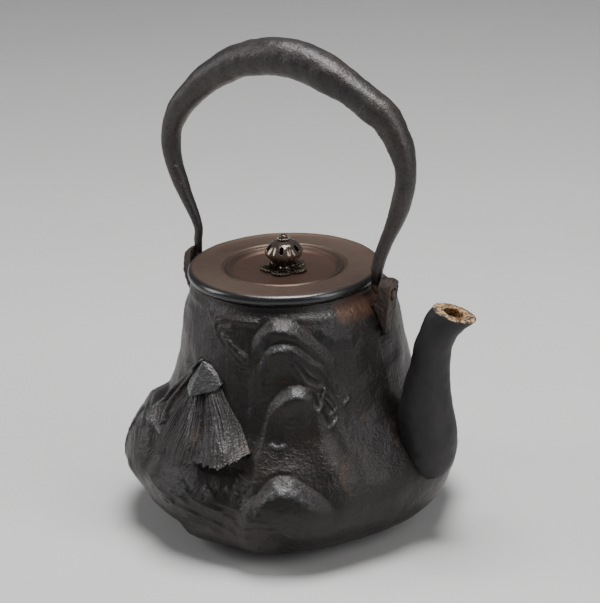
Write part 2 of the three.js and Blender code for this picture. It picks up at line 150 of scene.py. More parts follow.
def capped(rings):
    """Points and faces of a closed stack of rings with a fan at each end."""
    rings = np.asarray(rings, float)
    rows, columns, _ = rings.shape
    points = np.vstack([rings.reshape(-1, 3), rings[0].mean(0), rings[-1].mean(0)])
    faces = grid_faces(rows, columns, True).tolist()
    for row, centre in ((0, rows * columns), (rows - 1, rows * columns + 1)):
        start = row * columns
        faces += [[centre, start + i, start + (i + 1) % columns] for i in range(columns)]
    return points, faces


def revolved(profile, columns):
    """Points and faces of a closed (radius, height) outline turned about Z."""
    r, z = np.array(profile, float).T[:, :, None]
    turn = full_turn(columns)
    faces = grid_faces(len(profile) + 1, columns, True)
    return around(r, turn, z), faces % (len(profile) * columns)


def vertex_places(mesh):
    """Places in millimetres and normals of a mesh's points."""
    places = np.zeros(len(mesh.vertices) * 3)
    normals = np.zeros(len(mesh.vertices) * 3)
    mesh.vertices.foreach_get("co", places)
    mesh.vertex_normals.foreach_get("vector", normals)
    return places.reshape(-1, 3) / MM, normals.reshape(-1, 3)


def set_attribute(mesh, name, values):
    """Stores one number per point for a material to read."""
    layer = mesh.attributes.new(name, "FLOAT", "POINT")
    layer.data.foreach_set("value", np.clip(values, 0, 1).astype(np.float32))


def worn_copy(name, mesh, voxel, iterations, rough, length, seed):
    """Fine weathered copy of a plain mesh: rounded corners and a hand-made surface."""
    piece = linked(name, mesh)
    remesh = piece.modifiers.new("remesh", "REMESH")
    remesh.mode = "VOXEL"
    remesh.voxel_size = voxel * MM
    soften = piece.modifiers.new("soften", "SMOOTH")
    soften.factor = 0.5
    soften.iterations = iterations
    bpy.context.view_layer.update()
    applied(piece)
    fine = piece.data
    places, normals = vertex_places(fine)
    lumps = rough * waves(places, length, seed) + rough * 0.4 * waves(places, length * 0.35, seed + 1)
    fine.vertices.foreach_set("co", ((places + normals * lumps[:, None]) * MM).ravel())
    bpy.data.objects.remove(piece)
    return fine


def applied(piece):
    """Applies a piece's modifiers to its own mesh."""
    graph = bpy.context.evaluated_depsgraph_get()
    mesh = bpy.data.meshes.new_from_object(piece.evaluated_get(graph))
    piece.modifiers.clear()
    piece.data = mesh
    mesh.shade_smooth()


def cut(piece, tools):
    """Cuts tools out of a piece, and removes the tools."""
    for tool in tools:
        modifier = piece.modifiers.new("cut", "BOOLEAN")
        modifier.operation = "DIFFERENCE"
        modifier.solver = "EXACT"
        modifier.object = tool
        bpy.context.view_layer.update()
        applied(piece)
        bpy.data.objects.remove(tool)


def mesh_from(work, name):
    """Mesh from a bmesh, which is freed."""
    mesh = bpy.data.meshes.new(name)
    work.to_mesh(mesh)
    work.free()
    return mesh


def tool_from(work, name):
    """Object for a cut from a bmesh, which is freed."""
    return linked(name, mesh_from(work, name))


def spin(work, angle, axis="Z"):
    """Turns a bmesh about an axis of the frame."""
    bmesh.ops.rotate(work, matrix=Matrix.Rotation(angle, 3, axis), verts=work.verts)


def bar_along_x(low, high, height, radius):
    """Tool for a cut: a round bar along X, in millimetres."""
    work = bmesh.new()
    bmesh.ops.create_cone(work, cap_ends=True, segments=48, radius1=radius * MM, radius2=radius * MM,
                          depth=(high - low) * MM)
    for v in work.verts:
        v.co = Vector((v.co.z + (low + high) / 2 * MM, v.co.y, v.co.x + height * MM))
    return tool_from(work, "bar")


# ---- materials --------------------------------------------------------------------------


class Nodes:
    """Short way to build a node material."""

    def __init__(self, name, metallic, specular=0.5):
        self.material = bpy.data.materials.new(name)
        self.material.use_nodes = True
        self.tree = self.material.node_tree
        self.shader = self.tree.nodes["Principled BSDF"]
        self.shader.inputs["Metallic"].default_value = metallic
        self.shader.inputs["Specular IOR Level"].default_value = specular
        self.place = self.add("ShaderNodeTexCoord").outputs["Object"]

    def add(self, kind, **inputs):
        node = self.tree.nodes.new(kind)
        for key, value in inputs.items():
            self.put(node.inputs[key.replace("_", " ")], value)
        return node

    def put(self, socket, value):
        if isinstance(value, bpy.types.NodeSocket):
            self.tree.links.new(value, socket)
        else:
            socket.default_value = value

    def noise(self, scale, detail=4.0, rough=0.55, vector=None, distortion=0.0):
        node = self.add("ShaderNodeTexNoise", Scale=scale, Detail=detail, Roughness=rough,
                        Distortion=distortion)
        self.put(node.inputs["Vector"], vector or self.place)
        return node.outputs["Fac"]

    def ramp(self, value, low, high, out_low=0.0, out_high=1.0):
        node = self.add("ShaderNodeMapRange", From_Min=low, From_Max=high, To_Min=out_low, To_Max=out_high)
        self.put(node.inputs["Value"], value)
        return node.outputs["Result"]

    def mix(self, factor, a, b):
        node = self.add("ShaderNodeMix")
        node.data_type = "RGBA"
        self.put(node.inputs["Factor"], factor)
        self.put(node.inputs[6], a if isinstance(a, bpy.types.NodeSocket) else (*a, 1))
        self.put(node.inputs[7], b if isinstance(b, bpy.types.NodeSocket) else (*b, 1))
        return node.outputs[2]

    def math(self, operation, a, b):
        node = self.add("ShaderNodeMath")
        node.operation = operation
        self.put(node.inputs[0], a)
        self.put(node.inputs[1], b)
        return node.outputs[0]

    def flattened(self, vector):
        """A place with its height left out."""
        node = self.add("ShaderNodeVectorMath")
        node.operation = "MULTIPLY"
        self.put(node.inputs[0], vector)
        node.inputs[1].default_value = (1, 1, 0)
        return node.outputs["Vector"]

    def height(self, vector):
        node = self.add("ShaderNodeSeparateXYZ")
        self.put(node.inputs["Vector"], vector)
        return node.outputs["Z"]

    def vector_length(self, vector):
        node = self.add("ShaderNodeVectorMath")
        node.operation = "LENGTH"
        self.put(node.inputs[0], vector)
        return node.outputs["Value"]

    def attribute(self, name):
        node = self.add("ShaderNodeAttribute")
        node.attribute_name = name
        return node.outputs["Fac"]

    def bump(self, height, distance, strength=1.0, under=None):
        node = self.add("ShaderNodeBump", Strength=strength, Distance=distance)
        self.put(node.inputs["Height"], height)
        if under is not None:
            self.put(node.inputs["Normal"], under)
        return node.outputs["Normal"]

    def done(self, colour, roughness, normal):
        self.put(self.shader.inputs["Base Color"], colour)
        self.put(self.shader.inputs["Roughness"], roughness)
        self.put(self.shader.inputs["Normal"], normal)
        return self.material


def iron_material(name, dark, brown, rust, grain, rough, wear_and_highlight=None, rust_amount=0.35, rust_marked=None):
    """Dark iron: cloudy brown-black skin, rust in patches, casting grain and fine pits; lighter where an
    attribute marks wear and painted highlights.
    """
    m = Nodes(name, 0.35, 0.5)
    cloud = m.noise(38, 5, 0.6)
    patches = m.noise(60, 6, 0.65, distortion=0.4)
    pits = m.noise(grain, 3, 0.65)
    speck = m.noise(grain * 2.4, 2, 0.5)
    colour = m.mix(m.ramp(cloud, 0.35, 0.7), dark, brown)
    colour = m.mix(m.ramp(pits, 0.3, 0.7, 0.35, 0), colour, (0.008, 0.007, 0.007))
    rusty = m.ramp(patches, 0.72 - rust_amount * 0.3, 0.86 - rust_amount * 0.2)
    colour = m.mix(m.math("MULTIPLY", rusty, 0.75), colour, rust)
    roughness = m.ramp(speck, 0.3, 0.7, rough - 0.07, rough + 0.12)
    # lighter colour and less roughness where the attribute marks wear and painted highlights
    if wear_and_highlight is not None:
        marked = m.math("MULTIPLY", m.attribute("wear_and_highlight"), m.ramp(pits, 0.3, 0.6, 0.5, 1.15))
        shine = m.ramp(m.math("ADD", marked, m.ramp(cloud, 0.3, 0.7, -0.15, 0.15)), 0.15, 1.0)
        colour = m.mix(shine, colour, wear_and_highlight)
        roughness = m.math("SUBTRACT", roughness, m.math("MULTIPLY", shine, 0.12))
    if rust_marked is not None:
        spots = m.ramp(m.math("ADD", m.attribute("rust"), m.ramp(patches, 0.3, 0.7, -0.45, 0.45)), 0.3, 1.1)
        colour = m.mix(m.math("MULTIPLY", spots, 0.7), colour, rust_marked)
        roughness = m.math("ADD", roughness, m.math("MULTIPLY", spots, 0.12))
    coarse = m.bump(cloud, 0.0006, 0.5)
    grainy = m.bump(pits, 0.0006, 0.7, coarse)
    normal = m.bump(speck, 0.00016, 0.6, grainy)
    return m.done(colour, roughness, normal)


def forged_material():
    """Hand-forged iron: pitted grey-brown skin with bright nicks where it has been knocked."""
    m = Nodes("forged_iron", 0.4, 0.6)
    cloud = m.noise(45, 5, 0.6)
    pits = m.noise(800, 3, 0.7)
    speck = m.noise(2200, 2, 0.5)
    colour = m.mix(m.ramp(cloud, 0.35, 0.7), (0.03, 0.027, 0.027), (0.052, 0.043, 0.039))
    colour = m.mix(m.ramp(pits, 0.36, 0.5, 0.6, 0), colour, (0.012, 0.01, 0.01))
    nicked = m.math("MULTIPLY", m.ramp(m.noise(520, 3, 0.7), 0.64, 0.7), m.ramp(m.noise(26, 2), 0.6, 0.72))
    colour = m.mix(nicked, colour, (0.4, 0.4, 0.41))
    low = m.ramp(m.height(m.place), 0.119, 0.1215, 0.85, 0)
    colour = m.mix(m.math("MULTIPLY", low, m.ramp(pits, 0.3, 0.6, 0.4, 1)), colour, (0.075, 0.036, 0.02))
    roughness = m.math("ADD", m.ramp(speck, 0.3, 0.7, 0.31, 0.45), m.math("MULTIPLY", low, 0.2))
    roughness = m.math("SUBTRACT", roughness, m.math("MULTIPLY", nicked, 0.15))
    normal = m.bump(speck, 0.00012, 0.5, m.bump(pits, 0.0006, 0.6, m.bump(cloud, 0.0006, 0.4)))
    return m.done(colour, roughness, normal)


def spout_material():
    """Smooth blue-grey matte iron, with cream and orange scale on the mouth."""
    m = Nodes("spout_iron", 0.3, 0.4)
    cloud = m.noise(40, 5, 0.6)
    pits = m.noise(1100, 3, 0.6)
    scale = m.noise(420, 4, 0.65)
    colour = m.mix(m.ramp(cloud, 0.35, 0.7), (0.022, 0.022, 0.023), (0.034, 0.031, 0.03))
    crust = m.mix(m.ramp(scale, 0.4, 0.62), (0.4, 0.19, 0.05), (0.42, 0.31, 0.19))
    crust = m.mix(m.ramp(m.noise(800, 3), 0.5, 0.58), crust, (0.06, 0.047, 0.042))
    marked = m.ramp(m.math("ADD", m.attribute("rust"), m.ramp(scale, 0.3, 0.7, -0.3, 0.3)), 0.4, 0.6)
    colour = m.mix(marked, colour, crust)
    roughness = m.math("ADD", m.ramp(pits, 0.3, 0.7, 0.5, 0.64), m.math("MULTIPLY", marked, 0.25))
    return m.done(colour, roughness, m.bump(pits, 0.0004, 0.6, m.bump(cloud, 0.0005, 0.4)))


def bronze_material(name, brown, dark, green, rough, scale=55, mottled=0.6):
    """Patinated bronze: warm brown skin with darker clouds and faint tool marks."""
    m = Nodes(name, 0.75)
    cloud = m.noise(scale, 5, 0.6, distortion=0.3)
    fine = m.noise(700, 3, 0.6)
    colour = m.mix(m.ramp(cloud, 0.35, 0.75, 0, mottled), brown, dark)
    colour = m.mix(m.ramp(m.noise(scale * 2.3, 4), 0.55, 0.8, 0, 0.35), colour, green)
    roughness = m.ramp(cloud, 0.3, 0.7, rough - 0.05, rough + 0.08)
    normal = m.bump(fine, 0.00006, 0.5, m.bump(cloud, 0.0004, 0.35))
    return m.done(colour, roughness, normal)


def lid_material():
    """Brown satin bronze, redder in the well and polished steel-black round the rolled rim."""
    m = Nodes("lid_bronze", 0.8)
    cloud = m.noise(55, 5, 0.6, distortion=0.3)
    fine = m.noise(700, 3, 0.6)
    radius = m.vector_length(m.flattened(m.place))
    top = m.mix(m.ramp(cloud, 0.35, 0.75, 0, 0.85), (0.185, 0.13, 0.1), (0.095, 0.062, 0.047))
    well = m.mix(m.ramp(cloud, 0.35, 0.75, 0, 0.85), (0.15, 0.088, 0.067), (0.075, 0.045, 0.036))
    colour = m.mix(m.ramp(radius, 0.0245, 0.0262), well, top)
    groove = m.math("MULTIPLY", m.ramp(radius, 0.0252, 0.0262), m.ramp(radius, 0.0275, 0.0287, 0.6, 0))
    colour = m.mix(groove, colour, (0.04, 0.027, 0.021))
    rim = m.ramp(radius, 0.0424, 0.044)
    colour = m.mix(rim, colour, (0.05, 0.05, 0.053))
    roughness = m.math("SUBTRACT", m.ramp(cloud, 0.3, 0.7, 0.36, 0.5), m.math("MULTIPLY", rim, 0.17))
    normal = m.bump(fine, 0.00006, 0.5, m.bump(cloud, 0.0004, 0.3))
    return m.done(colour, roughness, normal)


# the light grey is the colour of wear and of painted highlights
CAST_IRON = iron_material("cast_iron", (0.011, 0.0095, 0.009), (0.022, 0.0165, 0.014), (0.055, 0.027, 0.016),
                          700, 0.34, wear_and_highlight=(0.07, 0.07, 0.073), rust_marked=(0.085, 0.036, 0.018))
SPOUT_IRON = spout_material()
FORGED_IRON = forged_material()
LUG_IRON = iron_material("lug_iron", (0.05, 0.037, 0.032), (0.085, 0.06, 0.051), (0.13, 0.068, 0.042),
                         800, 0.55, rust_amount=0.5)
LID_BRONZE = lid_material()
KNOB_BRONZE = bronze_material("knob_bronze", (0.2, 0.145, 0.115), (0.05, 0.042, 0.04), (0.09, 0.085, 0.07),
                              0.16, scale=160, mottled=0.9)
BEAD_BRONZE = bronze_material("bead_bronze", (0.27, 0.25, 0.22), (0.15, 0.13, 0.11), (0.15, 0.14, 0.12), 0.3)
LEAF_BRONZE = bronze_material("leaf_bronze", (0.085, 0.07, 0.05), (0.03, 0.027, 0.02), (0.07, 0.075, 0.055),
                              0.34, scale=260, mottled=0.9)

# ---- the shell --------------------------------------------------------------------------

# the wall without its relief, as (height, radius), and how far it is off the axis, as (height, shift)
PLAIN_OUTLINE = [
    (0, 46), (3, 54.6), (8, 63.6), (14, 70.2), (22, 75), (30, 76.6), (38, 75), (46, 70.6), (54, 64.6),
    (62, 59.4), (72, 55.8), (84, 53), (96, 51), (106, 48.6), (112, 45.8), (115.5, 43.6), (117.2, 43.2),
]
OFF_AXIS = [(0, 0.5), (10, 2), (20, 2), (32, 1.6), (60, 2.2), (72, 2.6), (85, 3), (110, 2.8)]
LEAN_ANGLE = 32  # direction of that shift
RIM_HEIGHT = 117.2
WALL, FLOOR, FLOOR_RADIUS = 5.5, 4.5, 38
INSIDE_HEIGHTS = (106, 96, 84, 72, 62, 54, 46, 38, 30, 22, 14, 8)
MOUTH_RADIUS, MOUTH_DEPTH = 37.4, 5
SPOUT_PORT = (50, 76, 46, 8)  # hole into the spout: x from and to, height, radius
FRONT_START, FRONT_END = -155, -5  # the stretch of the wall with the finest mesh
FRONT_COLUMNS, BACK_COLUMNS = 315, 125
OUTER_ROWS = 192

# soft hills: crest angle and height, reach to the left and right, drop there, relief, fade, lowest height,
# height of the lip
SOFT_HILLS = [
    (150, 72, 40, 32, 30, 3.6, 30, 4, 6),
    (95, 88, 26, 34, 36, 3.2, 30, 4, 6),
    (112, 48, 44, 40, 30, 4.0, 24, -12, 7),
    (48, 60, 26, 30, 26, 3.0, 28, 4, 7),
    (-146, 65, 30, 24, 14, 5.6, 60, 18, 6),
]
FOOT_HILL = (-75, 25, 48, 22, 16, 4.4, 40, -12, 13)  # lies over the feet of the peaks
HILL_FOOT = 14  # height over which a hill rises from its lowest place
CREST_BLEND = 2.4  # degrees over which the turns of a crest line are rounded

# peaks in front of one another: crest as (angle, height, how crisp), relief, width of the lip, fade
PEAKS = [
    dict(crest=[(-82, 100, 0), (-76, 105, 0.35), (-72, 109, 0.7), (-65, 112.6, 1), (-58.4, 112.4, 1),
                (-52, 110, 0.9), (-46.5, 106, 0.6), (-38, 98.8, 0.3), (-32, 90.5, 0.1), (-28.5, 80.5, 0)],
         relief=3.2, lip=4.5, fade=11),
    dict(crest=[(-78, 88, 0), (-73, 96, 0.3), (-69.5, 100.5, 0.7), (-66, 103, 1), (-60, 104.6, 1),
                (-53.5, 103.2, 0.9), (-49, 99.5, 0.7), (-45, 95.5, 0.5), (-38.7, 91, 0.3), (-33.5, 85, 0.1),
                (-31, 77, 0)],
         relief=4.2, lip=4.6, fade=13),
    dict(crest=[(-76, 50, 0), (-73, 61, 0.15), (-70, 72, 0.3), (-66, 78.5, 0.55), (-61, 82.8, 0.9),
                (-57.5, 84.6, 1), (-51.7, 84.8, 1), (-46.5, 82.4, 0.8), (-42.6, 77.5, 0.55), (-37.5, 66, 0.3),
                (-31, 50, 0)],
         relief=5.0, lip=5.5, fade=24),
    dict(crest=[(-93, 11, 0), (-84, 22, 0.1), (-77.4, 31.6, 0.4), (-73.7, 36.5, 0.85), (-69.7, 42.5, 1),
                (-67.3, 46.2, 1), (-63.5, 48.2, 1), (-58.6, 48.2, 1), (-55.4, 46.2, 1), (-51.6, 42.8, 0.9),
                (-46.9, 37.8, 0.6), (-43, 33, 0.3), (-36, 24, 0.1), (-26, 12, 0)],
         relief=4.8, lip=8.5, fade=42),
]

# round bosses on the brows of the peaks: angle, height, half width and half height, how far they stand out
BOSSES = [
    (-63, 108.6, 7, 4, 1.2), (-54, 107, 6, 3.6, 0.8), (-67.5, 99.6, 3.4, 3.2, 1.4), (-59, 100, 6.5, 4, 1.4),
    (-53, 97, 5, 2.4, 0.6), (-55, 79.6, 6.5, 5, 1.8), (-61, 76, 5, 5, 0.8), (-61.5, 43, 7, 5, 0.5),
    (-38, 104.5, 3, 2.6, 1.0), (-33.5, 101, 2.4, 2.8, 0.9), (-25, 100.5, 2.2, 2.6, 0.8),
    (-90, 108.5, 4, 2.4, 0.9),
]
# line across the lowest peak, as a crest: the ground below it is a little lower and shows tool strokes
LOW_FIELD = [(-82, 16, 0), (-72, 33, 1), (-66, 39, 1), (-61.8, 42.8, 1), (-58.7, 43.6, 1), (-55.7, 41.6, 1),
             (-52, 37.6, 1), (-48.5, 32.5, 0.8), (-40, 20, 0)]

# strokes in the clay: points as (angle, height), half width, height of the ridge, height at its far end;
# the ridges beside the hut and the stones carry a painted highlight
HUT_RIDGES = [
    ([(-108, 88.5), (-112, 85), (-123, 75.5), (-134, 65.5), (-137, 61), (-136, 57.5), (-132.6, 55),
      (-127.8, 52.5), (-121, 48.5)], 1.2, 3.6, 1.2),
    ([(-111, 83.5), (-122, 72.8), (-128.5, 64), (-129.5, 58.5), (-127.3, 54.5)], 1.0, 3.0, 2.2),
]
STONES = [
    ([(-40.9, 81.1), (-43.3, 75.9), (-42.4, 74.6), (-45.8, 72.3)], 0.7, 1.0),
    ([(-29.5, 74.8), (-32, 72.6)], 0.7, 0.9),
    ([(-36.9, 66.9), (-38.6, 65.2), (-41.5, 64.7)], 0.7, 1.0),
    ([(-36.3, 71.5), (-39.2, 69.2)], 0.6, 0.9),
    ([(-66, 58.6), (-63.5, 57.4), (-61, 58.2)], 0.6, 0.9),
]
STROKES = HUT_RIDGES + STONES + [
    ([(-116, 74), (-121, 64), (-124, 56)], 3.4, -0.8, -2.0),
    ([(-107, 111), (-101, 107), (-94, 99), (-90.6, 95.7), (-82.3, 90.2)], 0.9, 0.9),
    ([(-99.5, 109.2), (-91.4, 111.6), (-83.3, 110.8), (-75, 110.6)], 1.5, 1.5),
    ([(-93, 103.2), (-87.2, 99.5), (-80, 95.2)], 1.5, 0.8, 1.5),
    ([(-96.4, 106.6), (-89.2, 107)], 1.0, 0.5),
    ([(-49, 112.2), (-39, 111.6), (-27, 112), (-17, 111.4)], 1.7, 1.1),
    ([(-148, 56), (-139.4, 52.5), (-131, 47.8), (-127, 35.6)], 2.0, 0.8, 0.3),
    ([(-143.9, 48.9), (-134, 45), (-130, 37)], 1.2, 0.5, 0.2),
    ([(-152, 58), (-147, 45), (-142, 33)], 1.5, 0.7),
    ([(-105.4, 26.4), (-99.6, 25.5), (-93.2, 23.9)], 0.9, 0.8),
    ([(-99.1, 34.7), (-94.1, 32.4), (-88.7, 30), (-83.8, 29.1)], 0.9, 1.1),
    ([(-90.9, 37.6), (-86.8, 35.8)], 0.8, 0.9),
    ([(-82.1, 38.7), (-78.3, 37.1)], 0.8, 1.0),
    ([(-79, 40.2), (-75.6, 39.1)], 0.8, 1.0),
    ([(-77.3, 45.2), (-71.9, 43.7)], 0.8, 1.0),
    ([(-78.2, 43.1), (-74.1, 41.9)], 0.8, 1.0),
    ([(-109, 28.7), (-104, 27.4)], 0.8, 0.7),
    ([(-70.1, 28.3), (-65.3, 26.8), (-59.7, 28.2), (-56.1, 26), (-51.7, 21.5)], 0.9, 0.4),
    ([(-76.9, 21.2), (-69.5, 24.6), (-63.8, 23.6), (-57.8, 18.4)], 0.8, 0.6),
    ([(-5.6, 101.6), (-3, 97.4)], 0.7, -0.9),
    ([(-3.2, 101.8), (-0.6, 97.6)], 0.7, -0.9),
]


# stretches of the wall: angle from and to, height from and to, width of the soft edge
FIELD_STRETCH = (-96, -34, 6, 36, 6)
HATCHED_STRETCH = (-60, -33, 66, 112, 8)
TERRACE_STRETCH = (-122, -74, 14, 40, 5)
CLIFF_STRETCH = (-112, -76, 88, 116, 3)
HUT_STRETCH = (-126, -70, 32, 54, 8)
HUT_RECESS = 2.6  # depth of the shade under the thatch
# stretch where the painted highlight on the wall is held down, as painted shade on the left hills
SHADED_STRETCH = (-180, -120, 20, 80, 10)
RUSTY_STRETCH = (-34, 16, 104, 122, 8)
HATCHED_PEAKS = ((3, 24), (4, 26))  # how far below each crest its strokes begin and end


def shell_columns():
    """Angles of the shell's columns, close together where the relief is richest."""
    front = np.linspace(FRONT_START, FRONT_END, FRONT_COLUMNS, endpoint=False)
    back = np.linspace(FRONT_END, FRONT_START + 360, BACK_COLUMNS, endpoint=False)
    return np.concatenate([front, back])


def turn_from(angle, centre):
    """Signed difference of two angles, from -180 to 180."""
    return (angle - centre + 540) % 360 - 180


def below_crest(crest, angle, z, radius):
    """Distance down from a crest line, and how crisp the crest is there."""
    crest = np.array(crest, float)
    centre = crest[:, 0].mean()
    pairs = np.column_stack([crest[:, 0] - centre, crest[:, 1]])
    place = turn_from(angle, centre)
    heights = np.array([curve(pairs, place + step) for step in np.linspace(-CREST_BLEND, CREST_BLEND, 5)])
    slope = (heights[-1] - heights[0]) / (np.radians(2 * CREST_BLEND) * radius)
    crisp = np.interp(place, pairs[:, 0], crest[:, 2], left=0, right=0)
    return (heights.mean(axis=0) - z) / np.sqrt(1 + slope**2), crisp


def peak_layer(peak, angle, z, radius, under):
    """Lays one peak over the relief behind it: a crest that rolls over and dies away below."""
    below, crisp = below_crest(peak["crest"], angle, z, radius)
    fall = np.exp(-((np.maximum(0, below - peak["lip"]) / peak["fade"]) ** 1.6))
    surface = peak["relief"] * smooth(below, -1.5, peak["lip"]) * fall
    cover = smooth(below, -0.6, 1.6) * crisp
    return under * (1 - cover) + np.maximum(surface, under * 0.25) * cover


def soft_hill(hill, angle, z, radius):
    """A hill with a parabolic crest that dies away below it."""
    centre, crest, left, right, drop, relief, fade, foot, lip = hill
    arc = np.radians(turn_from(angle, centre)) * radius
    side = np.abs(arc) / np.where(arc < 0, left, right)
    below = crest - drop * side**2 - z
    rise = smooth(below, 0, lip) * smooth(z, foot, foot + HILL_FOOT)
    carved = 1 - 0.07 * brushed(below, arc, 3.4, 26, 70 + int(centre) % 7)
    return relief * rise * np.exp(-np.maximum(0, below - lip) / fade) * (1 - smooth(side, 0.6, 1.35)) * carved


def brushed(across, along, pitch, length, seed):
    """Elongated strokes of a tool in soft clay, from 0 to 1."""
    places = np.stack([across / pitch, along / length], -1)
    return smooth(waves(places, 1.5, seed, 24), 0.0, 1.0)


def stroke(angle, z, radius, points, half_width, height, end_height=None):
    """A soft ridge or groove along a line drawn on the wall."""
    nearest = np.full(angle.shape, 1e9)
    passed = np.zeros(angle.shape)
    for number, ((a0, z0), (a1, z1)) in enumerate(zip(points[:-1], points[1:])):
        along = np.radians(turn_from(angle, a0)) * radius
        run = np.radians(a1 - a0) * radius
        rise = z1 - z0
        t = np.clip((along * run + (z - z0) * rise) / (run**2 + rise**2), 0, 1)
        distance = (along - t * run) ** 2 + (z - z0 - t * rise) ** 2
        passed = np.where(distance < nearest, (number + t) / (len(points) - 1), passed)
        nearest = np.minimum(nearest, distance)
    end_height = height if end_height is None else end_height
    return (height + (end_height - height) * passed) * np.exp(-nearest / half_width**2)


def patch(angle, z, left, right, low, high, edge):
    """1 inside a stretch of the wall and 0 outside it, with soft edges."""
    centre = (left + right) / 2
    across = 1 - smooth(np.abs(turn_from(angle, centre)), (right - left) / 2 - edge, (right - left) / 2)
    return across * smooth(z, low, low + edge) * (1 - smooth(z, high - edge, high))


def shell_relief(angle, z, radius):
    """Relief of the landscape over the plain wall, in millimetres."""
    arc = np.radians(turn_from(angle, -90)) * radius
    relief = sum(soft_hill(hill, angle, z, radius) for hill in SOFT_HILLS)
    for peak in PEAKS:
        relief = peak_layer(peak, angle, z, radius, relief)
    relief = relief + soft_hill(FOOT_HILL, angle, z, radius)
    field, inside = below_crest(LOW_FIELD, angle, z, radius)
    relief = relief - 0.4 * smooth(field, -3, 14) * inside * np.exp(-np.maximum(0, field) / 30)
    tooled = 0.5 * brushed(field, arc, 2.4, 17, 61) * smooth(field, 6, 20)
    relief = relief + tooled * patch(angle, z, *FIELD_STRETCH)
    crest, crisp = below_crest(PEAKS[-1]["crest"], angle, z, radius)
    rough = smooth(crest, 1, 3) * (1 - smooth(crest, 7, 11)) * smooth(crisp, 0.6, 1)
    places = np.stack([arc, z], -1)
    relief = relief + 0.16 * rough * waves(places, 3.4, 62, 30)
    for number, (start, end) in enumerate(HATCHED_PEAKS):
        crest, _ = below_crest(PEAKS[number]["crest"], angle, z, radius)
        band = smooth(crest, start, start + 3) * (1 - smooth(crest, end - 6, end))
        window = band * patch(angle, z, *HATCHED_STRETCH)
        relief = relief - brushed(crest, arc, 2.7, 30, 63 + number) * window
    slanting = z + 0.25 * arc
    relief = relief + 0.55 * brushed(slanting, arc, 2.6, 15, 66) * patch(angle, z, *TERRACE_STRETCH)
    cliff = (z - 100.5) * 0.77 + arc * 0.64 + 3.5
    edge = 1.5 * smooth(cliff, -0.4, 1.4) * np.exp(-np.maximum(0, cliff) / 9)
    relief = relief + edge * patch(angle, z, *CLIFF_STRETCH)
    for line in STROKES:
        relief = relief + stroke(angle, z, radius, *line)
    for centre, height, wide, tall, proud in BOSSES:
        reach = (np.radians(turn_from(angle, centre)) * radius / wide) ** 2 + ((z - height) / tall) ** 2
        relief = relief + proud * np.exp(-reach)
    return relief - HUT_RECESS * patch(angle, z, *HUT_STRETCH)


def shell_radius(angle, z):
    """Outer radius of the shell on grids of angles and heights."""
    plain = plain_radius(angle, z)
    points = around(plain, np.radians(angle), z)
    uneven = 0.45 * waves(points, 34, 3) + 0.16 * waves(points, 11, 4) + 0.06 * waves(points, 4, 5)
    quiet = smooth(z, 0, 8) * (1 - smooth(z, 109, 116))
    return plain + quiet * (shell_relief(angle, z, curve(PLAIN_OUTLINE, z)) + uneven)


def plain_radius(angle, z):
    """Outer radius of the shell without its relief."""
    lean = curve(OFF_AXIS, z) * np.cos(np.radians(angle - LEAN_ANGLE))
    return curve(PLAIN_OUTLINE, z) + lean * (1 - smooth(z, 108, 116))


def build_shell():
    angle = shell_columns()
    heights = np.linspace(0, RIM_HEIGHT, 2000)
    step = np.hypot(np.gradient(curve(PLAIN_OUTLINE, heights)), np.gradient(heights))
    length = np.cumsum(step * (0.45 + 0.55 * smooth(heights, 4, 18)))
    rows = np.interp(np.linspace(length[0], length[-1], OUTER_ROWS), length, heights)
    grid_angle, grid_z = np.meshgrid(angle, rows)
    radius = shell_radius(grid_angle, grid_z)
    seat = RIM_HEIGHT - MOUTH_DEPTH
    inside = [(MOUTH_RADIUS + 0.6, RIM_HEIGHT), (MOUTH_RADIUS, RIM_HEIGHT - 0.6), (MOUTH_RADIUS, seat),
              (MOUTH_RADIUS + 1.5, seat - 1.6)]
    inside += [(float(curve(PLAIN_OUTLINE, h)) - WALL, h) for h in INSIDE_HEIGHTS]
    inside += [(FLOOR_RADIUS, FLOOR), (FLOOR_RADIUS / 2, FLOOR), (1, FLOOR)]
    inner_radius = np.array([r for r, _ in inside])[:, None] + 0 * angle
    inner_height = np.array([h for _, h in inside])[:, None] + 0 * angle
    base_radius = np.array([1, 16, 32])[:, None] + 0 * angle
    radius = np.vstack([base_radius, radius, inner_radius])
    height = np.vstack([0 * base_radius, grid_z, inner_height])
    points, faces = capped(around(radius, np.radians(angle), height))
    shell = mesh_piece("kettle_shell", points, faces, CAST_IRON, "kettle", ["kettle_body"])
    cut(shell, [bar_along_x(*SPOUT_PORT)])
    paint_shell(shell)


def paint_shell(piece):
    """Marks where the wall is worn, where painted highlights lie on proud relief that faces up and along
    ridges and stones, and where it is rusty.
    """
    places, normals = vertex_places(piece.data)
    angle = np.degrees(np.arctan2(places[:, 1], places[:, 0]))
    z = places[:, 2]
    proud = np.hypot(places[:, 0], places[:, 1]) - plain_radius(angle, z)
    # wear on proud relief, painted as a highlight where it faces up, and weaker in the shaded stretch as
    # painted shade
    upward = smooth(normals[:, 2], 0.1, 0.9)
    wear_and_highlight = 0.75 * smooth(proud, 1.5, 5.5) * upward * (1 - 0.6 * patch(angle, z, *SHADED_STRETCH))
    wall = curve(PLAIN_OUTLINE, z)
    # painted highlight along the ridges beside the hut and the stones
    lines = sum(stroke(angle, z, wall, points, 0.8, 1) for points, *_ in HUT_RIDGES + STONES)
    wear_and_highlight = np.maximum(wear_and_highlight, 0.9 * np.clip(lines, 0, 1))
    set_attribute(piece.data, "wear_and_highlight", wear_and_highlight)
    set_attribute(piece.data, "rust", patch(angle, z, *RUSTY_STRETCH))


# ---- thatched hut -----------------------------------------------------------------------

